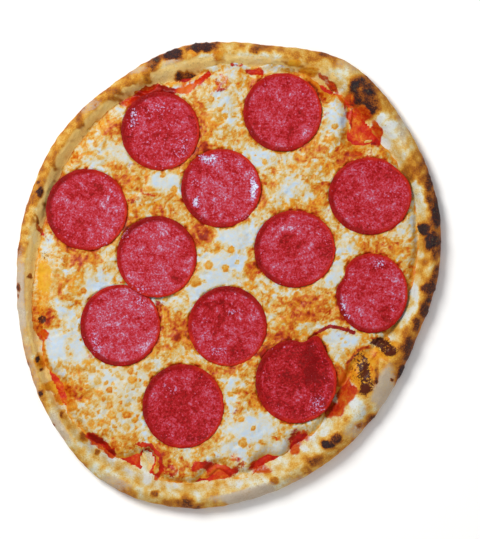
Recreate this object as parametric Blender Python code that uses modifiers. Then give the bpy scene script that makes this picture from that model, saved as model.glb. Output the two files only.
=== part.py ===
# A baked salami pizza, about 298 by 328 mm across and 21 mm tall at the rim.
# The dough is turned as a round plate with a raised rim and then stretched to
# the pizza's own uneven outline. Sauce, cheese and the slices lie on it as
# separate closed solids. Lengths are in millimetres until MM turns them into
# metres. +Z is up, and +Y is the pizza's long way.

import math

import bmesh
import bpy
from mathutils import Vector, noise

MM = 0.001
COLLECTION_NAME = "salami_pizza"

# Outline of the dough, every 20 degrees anticlockwise from +X: how far out the
# edge lies, and how wide the bare rim is there.
EDGE_RADII = [148, 156, 163, 171, 163, 163, 156, 153, 149,
              148, 152, 161, 170, 167, 157, 149, 143, 140]
RIM_WIDTHS = [16, 15, 19, 20, 15, 20, 13, 13, 14,
              12, 10, 11, 17, 16, 17, 22, 30, 18]
STEPS = 120                 # turns in the dough, the sauce and the cheese

# The round plate that the dough is stretched from
PLATE_RADIUS = 155.0
PLATE_RIM_WIDTH = 18.0
PLATE_RIM_HEIGHT = 17.0
BASE_THICKNESS = 4.5
RIM_HEIGHT_START = 13.5     # height of a rim of no width
RIM_HEIGHT_PER_WIDTH = 0.2
CRAG_HEIGHT = 1.8           # uneven baking of the rim
CRAG_SIZE = 17.0

# Blown blisters of the rim: angle, distance in from the edge, radius, height
BLISTERS = [
    (325.5, 24.0, 15.0, 4.5), (334.5, 19.0, 10.0, 3.0), (244.5, 22.0, 10.0, 4.0),
    (52.0, 15.0, 15.0, 3.5), (101.0, 10.0, 13.0, 3.0), (96.0, 5.0, 9.0, 2.0),
    (181.0, 7.0, 9.0, 2.0), (193.5, 7.0, 9.0, 2.0), (9.5, 8.0, 12.0, 2.5),
    (338.0, 7.0, 12.0, 2.5), (301.0, 9.0, 13.0, 2.5), (259.5, 8.0, 11.0, 2.5),
    (226.5, 9.0, 12.0, 2.5), (75.0, 9.0, 13.0, 2.0), (33.0, 9.0, 14.0, 2.0),
    (145.0, 6.0, 11.0, 2.0), (281.0, 10.0, 14.0, 2.0), (355.0, 9.0, 11.0, 2.0),
]

ROUND_SIZE = 100.0          # radius that sauce, cheese and slices are turned at
GAP = 0.4                   # between layers that lie on each other
SAUCE_THICKNESS = 1.4
SAUCE_BULGE = 0.7           # height of the sauce's outermost edge
SAUCE_INSET = 4.6           # from the rim's inner side
CHEESE_THICKNESS = 2.5      # under a slice
CHEESE_BULGE = 1.1          # height of the cheese's outermost edge
CHEESE_INSET = 2.6          # from the rim's inner side
CHEESE_RINGS = 12
CHEESE_EDGE_FALL = 1.0      # the top's last ring lies this much lower
CHEESE_SWELL = 1.5          # how much higher the bare cheese stands
LUMP_HEIGHT = 0.6
LUMP_SIZE = 16.0

# Bays where the cheese stops short and the sauce shows: angle, half width in
# degrees, depth
SAUCE_BAYS = [
    (47.5, 9.0, 22.0), (61.5, 4.0, 8.0), (83.0, 5.0, 4.0), (103.0, 6.0, 5.0),
    (113.0, 5.0, 7.0), (199.0, 4.0, 4.0), (214.0, 8.0, 9.0), (234.0, 5.0, 4.0),
    (245.0, 6.0, 14.0), (267.0, 7.0, 14.0), (281.0, 6.0, 10.0),
    (293.0, 6.0, 8.0), (310.0, 6.0, 14.0),
]

SLICE_THICKNESS = 1.5
SLICE_CURL = 0.7            # how far a slice's edge lifts
SLICE_STEPS = 32
BED_MARGIN = 4.0            # level cheese round a slice
BED_RAMP = 9.0              # from there up to the bare cheese
OVERLAP_RAMP = 15.0         # how a slice bends up over its neighbour

# Slices: centre, half width along X, half width along Y
SLICES = [
    (-47, 100, 28, 28), (38.5, 113, 28, 28), (-4.5, 60, 28.5, 28),
    (99.5, 54.5, 29.5, 27.5), (-98.5, 45, 29, 29), (47, 17.5, 29, 27.5),
    (-49.5, 12, 28.5, 29), (-75, -36, 28.5, 29), (0, -36.5, 28, 28.5),
    (48, -75, 29, 30), (101, -13.5, 25.5, 28.5), (-31, -92.5, 29, 30),
]
SLICE_OVER = {6: [7]}       # the seventh slice lies over the eighth

# Where a slice's edge leaves the ellipse: angle, half width in degrees, how
# far out
SLICE_EDGES = {
    9: [(80.0, 14.0, -3.5), (64.0, 13.0, 9.5)],
    10: [(151.0, 18.0, -4.0)],
    3: [(5.0, 14.0, 0.8), (45.0, 20.0, -1.2)],
}
FOLD_SLICE = 9
FOLD_ANGLE = 62.0           # the folded flap points this way
FOLD_RISE = 3.0
FOLD_WIDTH = 30.0


def around(values, angle):
    # A smooth closed curve through values spaced evenly round the turn
    count = len(values)
    place = angle / 360.0 * count
    first = math.floor(place)
    t = place - first
    a, b, c, d = (values[(first + k) % count] for k in (-1, 0, 1, 2))
    return 0.5 * (2 * b + (c - a) * t + (2 * a - 5 * b + 4 * c - d) * t ** 2
                  + (3 * b - a - 3 * c + d) * t ** 3)


def smooth(t):
    t = min(max(t, 0.0), 1.0)
    return t * t * (3 - 2 * t)


def hump(distance, radius):
    # One at the middle, nought from the radius on
    return (1 - min(distance / radius, 1.0) ** 2) ** 2


def turn_between(a, b):
    return abs((a - b + 180) % 360 - 180)


def edge_radius(angle):
    return around(EDGE_RADII, angle)


def rim_width(angle):
    return around(RIM_WIDTHS, angle)


def polar(angle, radius):
    return (radius * math.cos(math.radians(angle)),
            radius * math.sin(math.radians(angle)))


def outline_middle():
    # Middle of the outline's bounding box, which becomes the origin
    points = [polar(360 * k / STEPS, edge_radius(360 * k / STEPS))
              for k in range(STEPS)]
    xs, ys = zip(*points)
    return (min(xs) + max(xs)) / 2, (min(ys) + max(ys)) / 2


def turned(name, profile, steps):
    # Turns a profile of (radius, height) pairs into one closed solid. The
    # profile runs down the outer side.
    mesh = bpy.data.meshes.new(name + "_profile")
    work = bmesh.new()
    verts = [work.verts.new((r * MM, 0, z * MM)) for r, z in profile]
    for a, b in zip(verts, verts[1:]):
        work.edges.new((a, b))
    work.to_mesh(mesh)
    work.free()
    guide = bpy.data.objects.new(name + "_profile", mesh)
    bpy.context.scene.collection.objects.link(guide)
    screw = guide.modifiers.new("turn", "SCREW")
    screw.steps = steps
    screw.render_steps = steps
    screw.use_merge_vertices = True
    screw.merge_threshold = 0.00001
    graph = bpy.context.evaluated_depsgraph_get()
    solid = bpy.data.meshes.new_from_object(guide.evaluated_get(graph))
    solid.name = name
    bpy.data.objects.remove(guide)
    bpy.data.meshes.remove(mesh)
    return solid


def moved(mesh, rule):
    # Moves every vertex by rule(x, y, z), all in millimetres
    for vert in mesh.vertices:
        x, y, z = (c / MM for c in vert.co)
        vert.co = Vector(rule(x, y, z)) * MM
    return mesh


def to_origin(point):
    x, y, z = point
    return x - MIDDLE[0], y - MIDDLE[1], z


def add_part(name, mesh, colour, roughness):
    material = bpy.data.materials.new(name)
    material.use_nodes = True
    shader = material.node_tree.nodes["Principled BSDF"]
    shader.inputs["Base Color"].default_value = (*colour, 1)
    shader.inputs["Roughness"].default_value = roughness
    shader.inputs["Metallic"].default_value = 0
    mesh.materials.append(material)
    mesh.shade_smooth()
    mesh.set_sharp_from_angle(angle=math.radians(50))
    part = bpy.data.objects.new(name, mesh)
    COLLECTION.objects.link(part)


def dough_place(x, y, z):
    # From the round plate to the uneven outline
    angle = math.degrees(math.atan2(y, x)) % 360
    radius = math.hypot(x, y)
    plate_inner = PLATE_RADIUS - PLATE_RIM_WIDTH
    width = rim_width(angle)
    inner = edge_radius(angle) - width
    if radius > plate_inner:
        new_radius = inner + (radius - plate_inner) * width / PLATE_RIM_WIDTH
    else:
        new_radius = radius * inner / plate_inner
    if z > BASE_THICKNESS:
        tallest = RIM_HEIGHT_START + RIM_HEIGHT_PER_WIDTH * width
        share = (z - BASE_THICKNESS) / (PLATE_RIM_HEIGHT - BASE_THICKNESS)
        px, py = polar(angle, new_radius)
        crag = noise.noise(Vector((px, py, 40)) / CRAG_SIZE) * CRAG_HEIGHT
        z = BASE_THICKNESS + share * (tallest - BASE_THICKNESS + crag)
        for turn, inset, size, height in BLISTERS:
            bx, by = polar(turn, edge_radius(turn) - inset)
            z += share * height * hump(math.hypot(px - bx, py - by), size)
    return (*polar(angle, new_radius), z)


def make_crust():
    edge = PLATE_RADIUS
    inner = edge - PLATE_RIM_WIDTH
    top = PLATE_RIM_HEIGHT
    profile = [
        (0, BASE_THICKNESS), (50, BASE_THICKNESS), (100, BASE_THICKNESS),
        (inner - 6, BASE_THICKNESS), (inner - 2.5, 5.3), (inner + 0.6, 8.0),
        (inner + 2.8, 11.5), (inner + 5.6, 15.0), (inner + 9.5, top),
        (edge - 5, 15.2), (edge - 1.8, 12.0), (edge, 8.4), (edge - 0.8, 4.8),
        (edge - 3.6, 1.5), (edge - 9, 0), (80, 0), (0, 0),
    ]
    mesh = moved(turned("crust", profile, STEPS),
                 lambda *place: to_origin(dough_place(*place)))
    add_part("crust", mesh, (0.66, 0.43, 0.20), 0.75)


def round_profile(profile):
    # From shares of the radius to millimetres
    return [(share * ROUND_SIZE, z) for share, z in profile]


def round_place(x, y):
    # Angle and share of the radius of a turned point
    return math.degrees(math.atan2(y, x)) % 360, math.hypot(x, y) / ROUND_SIZE


def sauce_edge(angle):
    return edge_radius(angle) - rim_width(angle) - SAUCE_INSET


def cheese_edge(angle):
    radius = edge_radius(angle) - rim_width(angle) - CHEESE_INSET
    for turn, half_width, depth in SAUCE_BAYS:
        radius -= depth * hump(turn_between(angle, turn), half_width)
    return radius


def make_sauce():
    low = BASE_THICKNESS + GAP
    high = low + SAUCE_THICKNESS
    profile = [(0, high), (0.5, high), (0.985, high), (1, low + SAUCE_BULGE),
               (0.985, low), (0.5, low), (0, low)]

    def place(x, y, z):
        angle, share = round_place(x, y)
        return to_origin((*polar(angle, share * sauce_edge(angle)), z))

    mesh = turned("tomato_sauce", round_profile(profile), STEPS)
    add_part("tomato_sauce", moved(mesh, place), (0.55, 0.05, 0.01), 0.35)


def cheese_low():
    return BASE_THICKNESS + SAUCE_THICKNESS + 2 * GAP


def bed_height():
    return cheese_low() + CHEESE_THICKNESS


def slice_reach(number, angle):
    # Distance from a slice's centre to its edge
    _, _, half_x, half_y = SLICES[number]
    turn = math.radians(angle)
    radius = 1 / math.hypot(math.cos(turn) / half_x, math.sin(turn) / half_y)
    for middle, half_width, out in SLICE_EDGES.get(number, []):
        radius += out * hump(turn_between(angle, middle), half_width)
    return radius


def past_slice(number, x, y):
    # How far a point lies outside a slice's edge
    dx = x - SLICES[number][0]
    dy = y - SLICES[number][1]
    angle = math.degrees(math.atan2(dy, dx)) % 360
    return math.hypot(dx, dy) - slice_reach(number, angle)


def cheese_top(x, y):
    lump = noise.noise(Vector((x, y, 7)) / LUMP_SIZE) * LUMP_HEIGHT
    rise = CHEESE_SWELL + lump
    for number in range(len(SLICES)):
        away = (past_slice(number, x, y) - BED_MARGIN) / BED_RAMP
        rise = min(rise, (CHEESE_SWELL + lump) * smooth(away))
    return bed_height() + rise


def make_cheese():
    low = cheese_low()
    last_ring = 0.97
    top = [(last_ring * k / CHEESE_RINGS, bed_height())
           for k in range(CHEESE_RINGS + 1)]
    profile = top + [(1, low + CHEESE_BULGE), (0.98, low), (0.5, low), (0, low)]

    def place(x, y, z):
        angle, share = round_place(x, y)
        px, py = polar(angle, share * cheese_edge(angle))
        if z > low + CHEESE_BULGE:
            z = cheese_top(px, py)
            if share > last_ring - 0.01:
                z -= CHEESE_EDGE_FALL
        return to_origin((px, py, z))

    mesh = moved(turned("cheese", round_profile(profile), STEPS), place)
    add_part("cheese", mesh, (0.80, 0.66, 0.36), 0.4)


def make_slice(number):
    name = f"salami_{number + 1:02d}"
    centre_x, centre_y, _, _ = SLICES[number]
    profile = [(0, SLICE_THICKNESS), (0.62, SLICE_THICKNESS),
               (0.965, SLICE_THICKNESS), (1, SLICE_THICKNESS * 0.5),
               (0.965, 0), (0.62, 0), (0, 0)]
    lift = SLICE_THICKNESS + SLICE_CURL + GAP

    def place(x, y, z):
        angle, share = round_place(x, y)
        dx, dy = polar(angle, share * slice_reach(number, angle))
        px = centre_x + dx
        py = centre_y + dy
        rise = SLICE_CURL * share ** 4
        for lower in SLICE_OVER.get(number, []):
            away = (past_slice(lower, px, py) - BED_MARGIN) / OVERLAP_RAMP
            rise += lift * (1 - smooth(away))
        if number == FOLD_SLICE:
            across = turn_between(angle, FOLD_ANGLE)
            rise += FOLD_RISE * share ** 2 * hump(across, FOLD_WIDTH)
        return to_origin((px, py, bed_height() + GAP + z + rise))

    mesh = turned(name, round_profile(profile), SLICE_STEPS)
    add_part(name, moved(mesh, place), (0.50, 0.06, 0.07), 0.35)


for old in list(bpy.data.objects):
    bpy.data.objects.remove(old)
COLLECTION = bpy.data.collections.new(COLLECTION_NAME)
bpy.context.scene.collection.children.link(COLLECTION)
MIDDLE = outline_middle()

make_crust()
make_sauce()
make_cheese()
for slice_number in range(len(SLICES)):
    make_slice(slice_number)
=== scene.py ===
# A baked salami pizza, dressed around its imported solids.
# Lengths in the dictionaries are millimetres in the pizza's own frame:
# x to the right, y away from the viewer's side, z up from the underside.

import math
import random

import bpy
import numpy as np
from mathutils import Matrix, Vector, noise
from mathutils.bvhtree import BVHTree


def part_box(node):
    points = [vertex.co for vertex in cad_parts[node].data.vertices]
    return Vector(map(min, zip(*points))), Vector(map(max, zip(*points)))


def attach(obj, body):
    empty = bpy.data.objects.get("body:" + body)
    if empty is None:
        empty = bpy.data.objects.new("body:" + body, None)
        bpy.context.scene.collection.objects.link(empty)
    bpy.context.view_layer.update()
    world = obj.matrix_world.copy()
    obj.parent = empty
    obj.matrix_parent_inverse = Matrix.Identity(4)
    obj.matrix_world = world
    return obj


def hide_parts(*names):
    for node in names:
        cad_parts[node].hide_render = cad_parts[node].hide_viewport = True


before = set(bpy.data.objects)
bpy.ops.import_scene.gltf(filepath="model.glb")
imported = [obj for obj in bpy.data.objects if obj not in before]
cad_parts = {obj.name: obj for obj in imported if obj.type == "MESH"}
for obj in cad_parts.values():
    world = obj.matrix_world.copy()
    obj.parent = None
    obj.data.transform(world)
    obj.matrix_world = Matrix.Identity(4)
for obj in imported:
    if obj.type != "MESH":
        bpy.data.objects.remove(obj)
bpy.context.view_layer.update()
mm = 0.001
print("frame loaded:", len(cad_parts), "nodes")


# Small helpers for meshes

def makeActive(piece):
    bpy.ops.object.select_all(action="DESELECT")
    piece.select_set(True)
    bpy.context.view_layer.objects.active = piece


def editMode(piece, action, kind="VERT"):
    makeActive(piece)
    bpy.ops.object.mode_set(mode="EDIT")
    bpy.ops.mesh.select_mode(type=kind)
    bpy.ops.mesh.select_all(action=action)


def objectMode():
    bpy.ops.object.mode_set(mode="OBJECT")


def subdivided(piece, levels):
    makeActive(piece)
    surf = piece.modifiers.new("roundOff", "SUBSURF")
    surf.levels = levels
    surf.render_levels = levels
    bpy.ops.object.modifier_apply(modifier=surf.name)


def pointsOf(piece):
    flat = np.empty(len(piece.data.vertices) * 3)
    piece.data.vertices.foreach_get("co", flat)
    return flat.reshape(-1, 3) / mm


def setPoints(piece, points):
    piece.data.vertices.foreach_set("co", (points * mm).ravel())
    piece.data.update()


def normalsOf(piece):
    flat = np.empty(len(piece.data.vertices) * 3)
    piece.data.vertices.foreach_get("normal", flat)
    return flat.reshape(-1, 3)


def copyOfNode(node, name):
    # The node's own solid, with its loose triangles merged into one skin
    piece = bpy.data.objects.new(name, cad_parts[node].data.copy())
    bpy.context.scene.collection.objects.link(piece)
    piece.data.materials.clear()
    editMode(piece, "SELECT")
    bpy.ops.mesh.remove_doubles(threshold=0.000001)
    bpy.ops.mesh.tris_convert_to_quads(face_threshold=math.pi, shape_threshold=math.pi)
    objectMode()
    return piece


def skinOf(*pieces):
    # One search tree over several pieces, in millimetres
    verts = []
    faces = []
    for piece in pieces:
        start = len(verts)
        verts += [v.co / mm for v in piece.data.vertices]
        faces += [[start + k for k in face.vertices] for face in piece.data.polygons]
    return BVHTree.FromPolygons(verts, faces)


def heightsOver(skin, xs, ys, missed):
    # Height of the skin under each point
    down = Vector((0, 0, -1))
    heights = []
    for x, y in zip(xs.ravel(), ys.ravel()):
        hit = skin.ray_cast(Vector((x, y, 90)), down)[0]
        heights.append(missed if hit is None else hit.z)
    return np.array(heights).reshape(xs.shape)


def reachAround(skin, centre, turns, levels, far=260.0):
    # How far the skin reaches from the centre, for each turn, at the widest of the levels
    reach = []
    for turn in turns:
        side = Vector((math.cos(turn), math.sin(turn), 0))
        found = []
        for level in levels:
            start = Vector((centre[0], centre[1], level)) + side * far
            hit = skin.ray_cast(start, -side)[0]
            if hit is not None:
                found.append(math.hypot(hit.x - centre[0], hit.y - centre[1]))
        reach.append(max(found, default=0.0))
    return reach


def storeField(piece, name, values):
    # A value for each vertex that the material reads by name
    layer = piece.data.attributes.new(name, "FLOAT", "POINT")
    layer.data.foreach_set("value", np.ascontiguousarray(values, dtype=np.float32))


def finishPiece(piece, material, body="root"):
    piece.data.materials.clear()
    piece.data.materials.append(material)
    piece.data.shade_smooth()
    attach(piece, body)


# Small helpers for uneven fields

def smooth(t):
    t = np.clip(t, 0.0, 1.0)
    return t * t * (3 - 2 * t)


def bell(values, middle, width):
    # One at the middle, fading on both sides
    return np.exp(-((values - middle) / width) ** 2)


def noiseField(xs, ys, size, seed, octaves=1, gain=0.5):
    # Uneven values round nought, with lumps of about the given size
    total = np.zeros(xs.size)
    strength = 1.0
    for octave in range(octaves):
        step = size / 2 ** octave
        total += strength * np.array([
            noise.noise(Vector((x / step, y / step, seed + 7.3 * octave)))
            for x, y in zip(xs.ravel(), ys.ravel())])
        strength *= gain
    return total.reshape(xs.shape)


def uneven(xs, ys, how):
    # The same, told by a tuple: size of the lumps, reach, seed, octaves and maybe gain
    size, reach, *rest = how
    return noiseField(xs, ys, size, *rest) * reach


def wandered(xs, ys, size, reach, seed):
    # Points moved about, so that a zone's edge isn't a clean ellipse
    dx = uneven(xs, ys, (size, reach, seed, 2))
    dy = uneven(xs, ys, (size, reach, seed + 31.7, 2))
    return xs + dx, ys + dy


def awayFrom(xs, ys, zone):
    # One on the edge of a zone, which is x, y, half width, half length and its value
    x, y, halfX, halfY = zone[:4]
    return np.hypot((xs - x) / halfX, (ys - y) / halfY)


def zoneField(xs, ys, base, zones, sharp=0.95):
    # Each zone pulls the field to its value
    field = np.broadcast_to(base, xs.shape).astype(float).copy()
    for zone in zones:
        field += (zone[4] - field) * smooth((1 + sharp / 2 - awayFrom(xs, ys, zone)) / sharp)
    return field


def lineWeight(xs, ys, line, halfWidth):
    # One on a line through the given points, fading to nought at its edges
    nearest = np.full(xs.shape, 1e9)
    for (x0, y0), (x1, y1) in zip(line, line[1:]):
        length = (x1 - x0) ** 2 + (y1 - y0) ** 2
        along = np.clip(((xs - x0) * (x1 - x0) + (ys - y0) * (y1 - y0)) / length, 0, 1)
        away = np.hypot(xs - x0 - along * (x1 - x0), ys - y0 - along * (y1 - y0))
        nearest = np.minimum(nearest, away)
    return smooth((1.5 - nearest / halfWidth) / 1.1)


def withLines(xs, ys, field, lines):
    # Each line (half width, value, its points) pulls the field to its value
    for halfWidth, value, line in lines:
        field = field + (value - field) * lineWeight(xs, ys, line, halfWidth)
    return field


def blurred(grid, cells):
    # Soft average over a grid of values
    reach = int(3 * cells)
    offsets = np.arange(-reach, reach + 1)
    weights = np.exp(-0.5 * (offsets / cells) ** 2)
    weights /= weights.sum()
    for axis in (0, 1):
        grid = sum(w * np.roll(grid, k, axis) for k, w in zip(offsets, weights))
    return grid


# Materials

def linearColour(hexText):
    # sRGB hex to the linear values that the shaders use
    parts = [int(hexText[k:k + 2], 16) / 255 for k in (1, 3, 5)]
    return [c / 12.92 if c <= 0.04045 else ((c + 0.055) / 1.055) ** 2.4 for c in parts] + [1.0]


class Shader:
    # A material with its node tree; values and outputs of nodes may be mixed freely

    def __init__(self, name):
        self.material = bpy.data.materials.new(name)
        self.material.use_nodes = True
        self.tree = self.material.node_tree
        self.tree.nodes.clear()
        self.where = self.add("ShaderNodeTexCoord").outputs["Object"]

    def add(self, kind, links=None, **settings):
        # Adds a node; settings are its properties, links maps sockets to values or outputs
        node = self.tree.nodes.new(kind)
        for key, value in settings.items():
            setattr(node, key, value)
        for socket, source in (links or {}).items():
            if isinstance(source, bpy.types.NodeSocket):
                self.tree.links.new(source, node.inputs[socket])
            else:
                node.inputs[socket].default_value = source
        return node

    def field(self, name):
        return self.add("ShaderNodeAttribute", attribute_name=name).outputs["Fac"]

    def ramp(self, source, stops):
        node = self.add("ShaderNodeValToRGB", {"Fac": source})
        band = node.color_ramp
        for element, (place, colour) in zip(band.elements, (stops[0], stops[-1])):
            element.position = place
            element.color = linearColour(colour)
        for place, colour in stops[1:-1]:
            band.elements.new(place).color = linearColour(colour)
        return node.outputs["Color"]

    def math(self, operation, first, second=0.0, third=0.0, clamp=False):
        links = {0: first, 1: second, 2: third}
        return self.add("ShaderNodeMath", links, operation=operation, use_clamp=clamp).outputs[0]

    def scaleAdd(self, source, factor, base, clamp=False):
        # The source times the factor, added to the base
        return self.math("MULTIPLY_ADD", source, factor, base, clamp)

    def noise(self, size, detail, roughness, distortion=0.0):
        # Noise round nought, with lumps of this many millimetres
        node = self.add("ShaderNodeTexNoise", {
            "Vector": self.where, "Scale": 1.0 / (size * mm), "Detail": detail,
            "Roughness": roughness, "Distortion": distortion})
        return self.math("SUBTRACT", node.outputs["Fac"], 0.5)

    def mix(self, factor, first, second):
        # The two colour sockets have no names of their own
        links = {"Factor": factor, 6: first, 7: second}
        return self.add("ShaderNodeMix", links, data_type="RGBA").outputs[2]

    def step(self, source, low, high):
        # Nought below low, one above high, and smooth between them
        links = {"Value": source, "From Min": low, "From Max": high}
        node = self.add("ShaderNodeMapRange", links, interpolation_type="SMOOTHSTEP")
        return node.outputs["Result"]

    def bump(self, height, distance, under=None):
        links = {"Height": height, "Distance": distance * mm, "Strength": 1.0}
        if under is not None:
            links["Normal"] = under
        return self.add("ShaderNodeBump", links).outputs["Normal"]

    def close(self, links):
        surface = self.add("ShaderNodeBsdfPrincipled", links).outputs[0]
        self.add("ShaderNodeOutputMaterial", {"Surface": surface})
        return self.material


crustLook = {
    "stops": [(0.00, "#D4D8D4"), (0.10, "#D6D0B0"), (0.20, "#D6C088"), (0.32, "#D4AA54"),
              (0.45, "#CA8E2E"), (0.58, "#B06A18"), (0.72, "#965018"), (0.85, "#5A2A14"),
              (1.00, "#241C22")],
    # The pale yellow #FFDE8C is painted light for the inner side turned from the key light
    "flour": "#C0B09C", "grit": "#8A5518", "paintedLight": "#FFDE8C", "crackle": "#541F0C",
    "stain": [(0.0, "#960E04"), (0.4, "#B42A06"), (0.7, "#C4560C"), (1.0, "#D49030")],
    "oil": [(0.0, "#DCA62C"), (0.4, "#D48A1A"), (0.7, "#C0580A"), (1.0, "#7A2A0A")],
}


def bakedDough():
    # Wood-fired wheat dough: matte, pale where it puffed last, golden on the crown and
    # charred on the blisters. Raw flour is left on its outer side and yellow oil has
    # soaked into it beside the cheese. The inner side turned away from the key light is
    # painted a light yellow: painted light.
    mat = Shader("bakedDough")
    broad = mat.noise(9, 5, 0.8)
    fine = mat.noise(1.1, 3, 0.9)
    bake = mat.scaleAdd(broad, 0.62, mat.field("bake"))
    fineShare = mat.scaleAdd(mat.step(bake, 0.5, 0.75), 0.5, 0.60)
    bake = mat.scaleAdd(fine, fineShare, bake, clamp=True)
    colour = mat.ramp(bake, crustLook["stops"])
    crackle = mat.scaleAdd(fine, 4.0, mat.field("speckle"))
    crackleShare = mat.step(crackle, 0.75, 1.15)
    dust = mat.scaleAdd(fine, 1.7, mat.field("flour"))
    dust = mat.scaleAdd(broad, 0.9, dust)
    colour = mat.mix(mat.step(dust, 0.25, 0.95), colour, linearColour(crustLook["flour"]))
    # Painted light: the inner side turned from the key light is mixed towards pale yellow
    paintedLightShare = mat.scaleAdd(broad, 1.8, mat.field("paintedLight"))
    paintedLightShare = mat.scaleAdd(fine, 0.8, paintedLightShare)
    paintedLightShare = mat.math("MULTIPLY", mat.step(paintedLightShare, 0.1, 1.1), 0.85)
    colour = mat.mix(paintedLightShare, colour, linearColour(crustLook["paintedLight"]))
    oily = mat.scaleAdd(broad, 1.0, mat.field("oil"))
    oilShare = mat.step(oily, 0.22, 0.62)
    oilTone = mat.scaleAdd(broad, 2.0, 0.35, clamp=True)
    colour = mat.mix(oilShare, colour, mat.ramp(oilTone, crustLook["oil"]))
    wet = mat.scaleAdd(broad, 1.2, mat.field("stain"))
    wetShare = mat.step(wet, 0.30, 0.62)
    wetTone = mat.scaleAdd(broad, 2.2, 0.5)
    wetTone = mat.scaleAdd(fine, 1.2, wetTone, clamp=True)
    colour = mat.mix(wetShare, colour, mat.ramp(wetTone, crustLook["stain"]))
    grit = mat.scaleAdd(broad, 0.7, fine)
    grit = mat.math("MULTIPLY", mat.step(grit, 0.0, 0.36), 0.62)
    grit = mat.math("MULTIPLY", grit, mat.step(bake, 0.80, 0.62))
    colour = mat.mix(grit, colour, linearColour(crustLook["grit"]))
    colour = mat.mix(crackleShare, colour, linearColour(crustLook["crackle"]))
    soaked = mat.math("MAXIMUM", oilShare, wetShare)
    roughness = mat.scaleAdd(soaked, -0.38, 0.74)
    grain = mat.bump(fine, 0.4)
    normal = mat.bump(broad, 0.9, grain)
    return mat.close({
        "Base Color": colour, "Roughness": roughness, "Normal": normal,
        "IOR": 1.25, "Subsurface Weight": 0.08, "Subsurface Scale": 0.002,
        "Subsurface Radius": (1.0, 0.5, 0.25)})


cheeseLook = {
    "stops": [(0.00, "#B8C9DA"), (0.14, "#C6CAC6"), (0.30, "#CEBF98"), (0.44, "#CCA656"),
              (0.57, "#C88622"), (0.72, "#BE5E0A"), (0.86, "#AC3604"), (1.00, "#8A2004")],
    "red": [(0.0, "#CC5C0A"), (0.45, "#BE2002"), (1.0, "#800701")],
    "burnt": "#4C2014",
}


def meltedCheese():
    # Melted mozzarella: milky and soft where it is thick, yellow where the fat has come
    # out, with orange-brown freckles where it caught the heat, and sauce showing through.
    mat = Shader("meltedCheese")
    freckle = mat.noise(1.9, 3, 0.85)
    tone = mat.scaleAdd(freckle, 0.55, mat.field("tone"), clamp=True)
    colour = mat.ramp(tone, cheeseLook["stops"])
    oily = mat.scaleAdd(freckle, 1.6, mat.field("oil"))
    oilTone = mat.scaleAdd(mat.field("tone"), 1.3, -0.40)
    oilTone = mat.scaleAdd(freckle, 1.6, oilTone, clamp=True)
    colour = mat.mix(mat.step(oily, 0.25, 0.75), colour, mat.ramp(oilTone, crustLook["oil"]))
    sauceTone = mat.scaleAdd(freckle, 1.4, mat.field("pulp"), clamp=True)
    red = mat.ramp(sauceTone, cheeseLook["red"])
    redShare = mat.scaleAdd(freckle, 0.8, mat.field("red"))
    colour = mat.mix(mat.step(redShare, 0.26, 0.62), colour, red)
    crackle = mat.scaleAdd(freckle, 3.4, mat.field("speckle"))
    colour = mat.mix(mat.step(crackle, 0.72, 1.05), colour, linearColour(cheeseLook["burnt"]))
    roughness = mat.scaleAdd(tone, -0.14, 0.46)
    normal = mat.bump(freckle, 0.20)
    return mat.close({
        "Base Color": colour, "Roughness": roughness, "Normal": normal, "IOR": 1.28,
        "Subsurface Weight": 0.10, "Subsurface Scale": 0.0012,
        "Subsurface Radius": (1.0, 0.7, 0.4)})


sauceLook = {
    "stops": [(0.0, "#7A0501"), (0.35, "#AC1001"), (0.60, "#C22402"), (0.80, "#CE580A"),
              (1.0, "#DC9426")],
}


def cookedSauce():
    # Cooked tomato sauce: pulpy and wet, deep red with orange oil at its edges.
    mat = Shader("cookedSauce")
    pulp = mat.noise(8, 5, 0.8)
    seed = mat.noise(1.8, 2, 0.7)
    tone = mat.scaleAdd(pulp, 1.5, mat.field("tone"))
    tone = mat.scaleAdd(seed, 0.35, tone, clamp=True)
    colour = mat.ramp(tone, sauceLook["stops"])
    grain = mat.bump(seed, 0.35)
    normal = mat.bump(pulp, 0.9, grain)
    return mat.close({
        "Base Color": colour, "Roughness": 0.38, "Normal": normal, "IOR": 1.26,
        "Subsurface Weight": 0.06, "Subsurface Scale": 0.001})


# The light lilac end of these stops is partly fat and partly painted sheen
salamiLook = {
    "stops": [(0.00, "#7E0205"), (0.22, "#A0080D"), (0.36, "#AE1620"), (0.46, "#B82A37"),
              (0.56, "#BA3648"), (0.66, "#BA475C"), (0.78, "#BA6078"), (0.90, "#BE8AA8"),
              (1.00, "#CEB6D0")],
    "rindAndShade": [(0.0, "#7A0302"), (0.5, "#A20A04"), (1.0, "#C0260E")],
    "paintedHighlight": [(0.0, "#B0608A"), (0.5, "#BBA4CC"), (1.0, "#DCE8F2")],
}


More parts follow.
